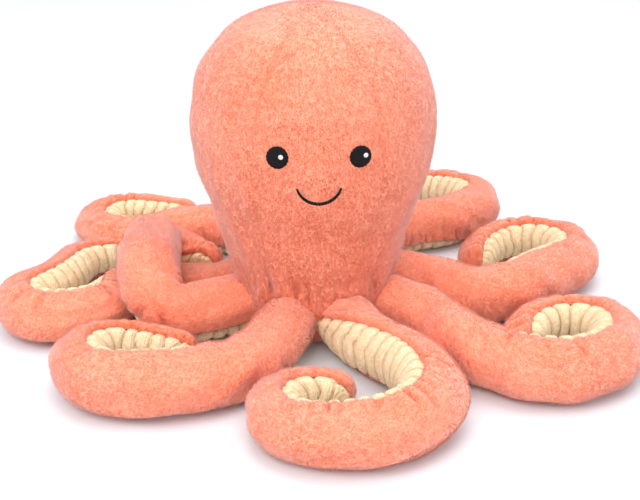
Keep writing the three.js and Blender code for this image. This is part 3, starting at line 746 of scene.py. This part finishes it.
def arm_cloth(arm, cloth, grids, share, material, replaced):
    """One cloth of an arm as three pieces: a root across the body's seam, a middle across the bend half
    way along, and a tip that moves with the arm's tip."""
    tip = arm.name + "_tip"
    rows = [0, *(int(np.searchsorted(share, cut)) for cut in MIDDLE_SHARES), len(share) - 1]
    outwards = np.append(direction(arm.seam_angle), 0)
    seam_bend = [tuple((arm.start + outwards * reach) * MM) for reach in ROOT_BEND]
    place, forward, _, _ = (value[0] for value in arm.frames(np.array([0.5])))
    half_way_bend = [tuple((place + forward * reach) * MM) for reach in (-MIDDLE_BEND, MIDDLE_BEND)]
    movers = [("body", arm.name, *seam_bend), (arm.name, tip, *half_way_bend), (tip,)]
    pieces = []
    for part, first, last, mover in zip(("root", "middle", "end"), rows[:-1], rows[1:], movers):
        outer, inner, normals, attributes = cut_piece(grids, first, last)
        piece = cloth_solid(f"{arm.name}_{cloth}_{part}", outer, inner, normals, material, attributes)
        settle(piece, mover)
        pieces.append(piece)
        seen = share[first:last + 1] * arm.length > -4
        fold = attributes[0][1]
        cloths.append((f"{arm.name}_{part}", cloth, outer[seen], normals[seen], fold[seen], mover, 1))
    root, middle, end = pieces
    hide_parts(*[f"{arm.name}_{node}" for node in replaced])
    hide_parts(*[f"{tip}_{node}" for node in replaced])


CORDUROY = corduroy_material()
for number, arm_name in enumerate(ARMS):
    arm = Arm(arm_name)
    shares = arm_shares(arm, 1.5)
    arm_cloth(arm, "plush", plush_back(arm, 100 + number * 10, shares), shares, PLUSH, ["plush", "filling"])
    shares = arm_shares(arm, 1.0)
    arm_cloth(arm, "band", ruched_band(arm, 300 + number * 10, shares), shares, CORDUROY, ["corduroy"])


# The face is embroidered through the plush: two round black eyes in close satin stitch, a small white glint
# on each, and a smile in one thick line of black thread that narrows at both ends.

EYE_TURNS = {"left": -18, "right": 18}
EYE_HEIGHT = 0.653 * HEAD_HEIGHT
EYE_RADIUS = 5.75
EYE_RISE = 1.7
GLINT_TURN = 1.9
GLINT_UP = 0.9
GLINT_RADIUS = 1.25
GLINT_RISE = 0.5
GLINT_LIFT = 1.65
THREAD_PITCH = 0.42
SMILE_WIDTH = 22.4
SMILE_DROP = 8.7
SMILE_LOW = 0.519 * HEAD_HEIGHT
SMILE_RADIUS = 0.85
SMILE_STEPS = 72
SMILE_SIDES = 10


def on_face(turn, z, stand_off):
    """Points on the face's plush: turned from the face's middle in degrees, at a height, standing off it."""
    angle = np.radians(FACE_TURN - 90 + turn)
    reach = pear_radius(z) + CLOTH_PROUD + stand_off
    return np.stack([np.cos(angle) * reach, np.sin(angle) * reach, z + 0 * angle], axis=-1)


def face_frame(turn, z):
    """A place on the face with its right, up and outward directions, from the places beside and above it."""
    place = on_face(turn, z, 0)
    side = on_face(turn + 1, z, 0) - on_face(turn - 1, z, 0)
    rise = on_face(turn, z + 2, 0) - on_face(turn, z - 2, 0)
    side, rise = side / np.linalg.norm(side), rise / np.linalg.norm(rise)
    return place, side, rise, np.cross(side, rise)


def stitched_disc(name, turn, z, radius, rise, lift, material, node):
    """A low dome of satin stitch on the face: a turned outline with a slightly ragged edge, laid on the
    face's right, up and outward directions, its threads side by side across it."""
    place, side, up, out = face_frame(turn, z)
    rows = [(0, -0.6), (radius, -0.6), (radius, rise * 0.35), (radius * 0.93, rise * 0.62),
            (radius * 0.75, rise * 0.84), (radius * 0.5, rise * 0.95), (radius * 0.25, rise * 0.99),
            (0, rise)]
    disc = turned(name, rows, 48, material)
    flat = np.empty(len(disc.data.vertices) * 3, np.float32)
    disc.data.vertices.foreach_get("co", flat)
    flat = flat.reshape(-1, 3).astype(float) / MM
    ragged = 1 + 0.025 * np.sin(np.arctan2(flat[:, 1], flat[:, 0]) * 17)
    flat[:, :2] *= ragged[:, None]
    float_attribute(disc, "thread", flat[:, 0] * 2 * np.pi / THREAD_PITCH)
    placed = place + flat[:, :1] * side + flat[:, 1:2] * up + (flat[:, 2:] + lift) * out
    disc.data.vertices.foreach_set("co", (placed * MM).ravel())
    disc.data.update()
    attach(disc, "body")
    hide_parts(node)


def thread_material(name, colour, roughness):
    """Satin-stitch embroidery: close parallel threads, a sine across them for relief, and for a painted
    shade, half as bright, in the grooves between them.
    """
    n = Finish(name, Roughness=roughness, Specular_IOR_Level=0.15)
    threads = n.math("SINE", n.attribute("thread"))
    # the thread's colour at half brightness, painted into the grooves between threads as their shade
    groove_shade = [c * 0.5 for c in colour[:3]] + [1]
    n.show(n.mix(n.between(threads, -1.2, 1), groove_shade, colour), n.bump(threads, 0.0001, 0.6))
    return n.material


def smile_places(count, stand_off):
    """Points along the smile: an arc of the circle through its two ends and its lowest point, laid round
    the face."""
    radius = (SMILE_WIDTH ** 2 / 4 + SMILE_DROP ** 2) / 2 / SMILE_DROP
    half = math.asin(SMILE_WIDTH / 2 / radius)
    swing = np.linspace(-half, half, count)
    z = SMILE_LOW + radius * (1 - np.cos(swing))
    return on_face(np.degrees(radius * np.sin(swing) / pear_radius(z)), z, stand_off)


def smile_thread(material):
    """The smile's thread: rings of points carried along its arc, thinner towards both ends, with the
    thread's twist as a small ripple."""
    places = smile_places(SMILE_STEPS, 0.35)
    way = np.gradient(places, axis=0)
    way /= np.linalg.norm(way, axis=1, keepdims=True)
    out = places * [1, 1, 0]
    out /= np.linalg.norm(out, axis=1, keepdims=True)
    beside = np.cross(way, out)
    to_end = np.sin(np.pi * np.linspace(0.04, 0.96, SMILE_STEPS))
    thick = SMILE_RADIUS * (0.35 + 0.65 * to_end ** 0.45)
    around = np.linspace(0, 2 * np.pi, SMILE_SIDES, endpoint=False)
    twist = 1 + 0.12 * np.sin(np.linspace(0, 72, SMILE_STEPS)[:, None] * 1.9 + around[None, :])
    spoke = out[:, None] * np.cos(around)[None, :, None] + beside[:, None] * np.sin(around)[None, :, None]
    ring = places[:, None] + spoke * (thick[:, None] * twist)[..., None]
    here = np.arange(SMILE_SIDES)[None, :]
    starts = np.arange(SMILE_STEPS - 1)[:, None] * SMILE_SIDES
    a, b = starts + here, starts + (here + 1) % SMILE_SIDES
    faces = np.stack([a, b, b + SMILE_SIDES, a + SMILE_SIDES], axis=2).reshape(-1, 4).tolist()
    last = (SMILE_STEPS - 1) * SMILE_SIDES
    faces += [list(range(SMILE_SIDES - 1, -1, -1)), list(range(last, last + SMILE_SIDES))]
    thread = new_object("mouth_stitching", ring.reshape(-1, 3), faces, material)
    float_attribute(thread, "thread", np.repeat(np.arange(SMILE_STEPS) * 2.4, SMILE_SIDES))
    return thread


BLACK_THREAD = thread_material("black_thread", (0.006, 0.004, 0.004, 1), 0.45)
WHITE_THREAD = thread_material("white_thread", (0.9, 0.9, 0.9, 1), 0.5)
for side_name, eye_turn in EYE_TURNS.items():
    stitched_disc(side_name + "_eye_stitching", eye_turn, EYE_HEIGHT, EYE_RADIUS, EYE_RISE, 0, BLACK_THREAD,
                  side_name + "_eye")
    stitched_disc(side_name + "_eye_glint_stitching", eye_turn + GLINT_TURN, EYE_HEIGHT + GLINT_UP,
                  GLINT_RADIUS, GLINT_RISE, GLINT_LIFT, WHITE_THREAD,
                  side_name + "_eye_glint")
mouth = smile_thread(BLACK_THREAD)
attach(mouth, "body")
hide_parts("mouth")


# The pile is what the hand feels: short soft fibres that stand out of the plush all over, and a shorter,
# thinner nap on the corduroy. Each fibre is one narrow face rooted in the cloth, and rides with it. None
# stand under the toy or under the embroidery.

PATCH_SIZE = 13
CLUMP_SIZE = 1.1
FLECK_SIZE = 0.9
UNDERSIDE = 0.8
LIGHT_THROUGH = 0.45
EYE_CLEARANCE = 6.1
SMILE_CLEARANCE = 1.5
BARE = [(on_face(turn, EYE_HEIGHT, 0), EYE_CLEARANCE) for turn in EYE_TURNS.values()]
BARE += [(place, SMILE_CLEARANCE) for place in smile_places(30, 0)]


def fibre_material(name, root, tip, speckle, fold_shade_colour):
    """The pile's fibres: deep at their roots and pale at their ends, a painted shade down in the pile and a
    painted highlight on its ends; each a little lighter or darker by its stored shade number, darker with
    the painted shade in creases, and thin enough that light comes through them."""
    n = Finish(name, Roughness=0.9, Specular_IOR_Level=0.1, Sheen_Weight=1, Sheen_Roughness=0.45,
               Sheen_Tint=(1, 0.9, 0.86, 1))
    colour = n.mix(n.attribute("end"), root, tip)
    colour = n.mix(n.math("MULTIPLY", n.attribute("shade"), speckle), colour, root)
    colour = n.effect(GATHER_SHADE, Cloth=colour, Folded=fold_shade_colour)
    n.show(colour)
    through = n.node("ShaderNodeBsdfTranslucent", Color=colour)
    both = n.node("ShaderNodeMixShader", Fac=LIGHT_THROUGH)
    n.put(both.inputs[1], n.shader.outputs["BSDF"])
    n.put(both.inputs[2], through.outputs["BSDF"])
    n.put(n.tree.nodes["Material Output"].inputs["Surface"], both.outputs["Shader"])
    return n.material


def pile(name, outer, normals, fold, mover, look):
    """The pile of a cloth: narrow blades rooted all over its outer surface, each a single face. A blade
    points along the normal, plus the nap by its lean, plus its side by a little aside. Both vary in clumps
    of a few blades. In soft patches the blades stand and show their deeper roots. Where the cloth faces up,
    and on the head's left and right sides, they lie flatter, and the pile is painted paler there and deeper
    where the cloth faces down: a painted highlight, shade and sheen. The head's pile is also painted a
    little paler all over. Clumps and patches have the same seeds everywhere, so they run on over the seams.
    look is the material, the blades for each square millimetre, their length and width, the nap's way along
    the rows, how much painted sheen the head gets, and the seed."""
    material, density, length, width, nap, painted_sheen, seed = look
    rng = np.random.default_rng(seed)
    corners = outer[:-1, :-1], outer[:-1, 1:], outer[1:, 1:], outer[1:, :-1]
    area = np.linalg.norm(np.cross(corners[2] - corners[0], corners[3] - corners[1]), axis=2) / 2
    cell = np.repeat(np.arange(area.size), rng.poisson(area * density).ravel())
    row, column = np.unravel_index(cell, area.shape)
    u, v = rng.random((2, len(cell), 1))

    def at(grid):
        """A grid's values at the roots, each between those of its cell's four corners."""
        return ((grid[row, column] * (1 - u) + grid[row, column + 1] * u) * (1 - v)
                + (grid[row + 1, column] * (1 - u) + grid[row + 1, column + 1] * u) * v)

    root, up, dark = at(outer), at(normals), at(fold[..., None])[:, 0]
    way = at(np.gradient(outer, axis=0)) * nap
    way /= np.maximum(np.linalg.norm(way, axis=1, keepdims=True), 1e-9)
    side = np.cross(up, way)
    keep = root[:, 2] > UNDERSIDE
    for middle, bare in BARE:
        keep &= np.linalg.norm(root - middle, axis=1) > bare
    root, up, way, side, dark = root[keep], up[keep], way[keep], side[keep], dark[keep]
    count = len(root)

    # Painted highlight, sheen and shade: paler where the cloth faces up and at the head's sides, deeper
    # below.
    flat = 0.7 * (up[:, 2] - 0.1) + painted_sheen * (up[:, 0] ** 2 - 0.15)
    stands = ease(0.5 + 0.5 * lumps(1004, 7, *(root.T / PATCH_SIZE)) - flat)[:, None]
    ruffled = 0.5 + 0.5 * stands
    clump = root.T / CLUMP_SIZE
    lean = 0.25 * (lumps(1001, 7, *clump)[:, None] + rng.normal(size=(count, 1)))
    lean = 1.35 - 0.55 * stands + ruffled * lean
    aside = 0.23 * (lumps(1002, 7, *clump)[:, None] + rng.normal(size=(count, 1))) * ruffled
    blade = up + way * lean + side * aside
    blade /= np.linalg.norm(blade, axis=1, keepdims=True)
    across = np.cross(up, blade)
    across *= width / 2 / np.maximum(np.linalg.norm(across, axis=1, keepdims=True), 1e-3)
    reach = length * (0.6 + 0.6 * rng.random((count, 1)))
    points = np.stack([root + across - up * 0.2, root - across - up * 0.2, root + blade * reach], axis=1)
    speck = 0.25 * lumps(1003, 7, *(root.T / FLECK_SIZE)) + 0.25 * rng.normal(size=count)
    # The shade number: painted paler on the head and where blades lie flat, with random flecks.
    shade = 0.1 - 0.08 * painted_sheen + 0.4 * (0.35 + stands[:, 0]) + (0.1 + 1.1 * stands[:, 0]) * speck

    mesh = bpy.data.meshes.new(name)
    mesh.vertices.add(3 * count)
    mesh.vertices.foreach_set("co", (points * MM).astype(np.float32).ravel())
    mesh.loops.add(3 * count)
    mesh.loops.foreach_set("vertex_index", np.arange(3 * count, dtype=np.int32))
    mesh.polygons.add(count)
    mesh.polygons.foreach_set("loop_start", np.arange(0, 3 * count, 3, dtype=np.int32))
    mesh.polygons.foreach_set("use_smooth", [True] * count)
    mesh.materials.append(material)
    mesh.update(calc_edges=True)
    mesh.normals_split_custom_set_from_vertices(np.repeat(up + blade * 0.3, 3, axis=0).tolist())
    obj = bpy.data.objects.new(name, mesh)
    bpy.context.scene.collection.objects.link(obj)
    float_attribute(obj, "end", np.tile([0, 0, 1], count))
    float_attribute(obj, "shade", np.repeat(np.clip(shade, 0, 1), 3))
    float_attribute(obj, "fold", np.repeat(dark, 3))
    settle(obj, mover)
    return obj


# Deep roots and pale ends paint shade in the pile and a highlight on it; the last colour is crease shade.
coral_fibres = fibre_material("coral_pile", root=(0.9, 0.2, 0.07, 1), tip=(0.98, 0.58, 0.47, 1),
                              speckle=0.9, fold_shade_colour=(0.62, 0.11, 0.03, 1))
cream_fibres = fibre_material("cream_nap", root=(0.82, 0.62, 0.38, 1), tip=(0.95, 0.79, 0.56, 1),
                              speckle=0.5, fold_shade_colour=(0.42, 0.25, 0.09, 1))
# material, blades for each square millimetre, length, width, slot
LOOKS = {
    "plush": (coral_fibres, 2.0, 1.7, 0.34, "coral_plush"),
    "band": (cream_fibres, 0.9, 0.8, 0.34, "cream_corduroy"),
}
for number, (piece_name, cloth, outer, normals, fold, mover, nap) in enumerate(cloths):
    material, density, length, width, slot = LOOKS[cloth]
    # The head's gores, whose nap runs down, get the painted sheen; the arms get none.
    look = (material, density, length, width, nap, 1 if nap < 0 else 0, 1000 + number * 7)
    pile(f"{piece_name}_{cloth}_pile", outer, normals, fold, mover, look)
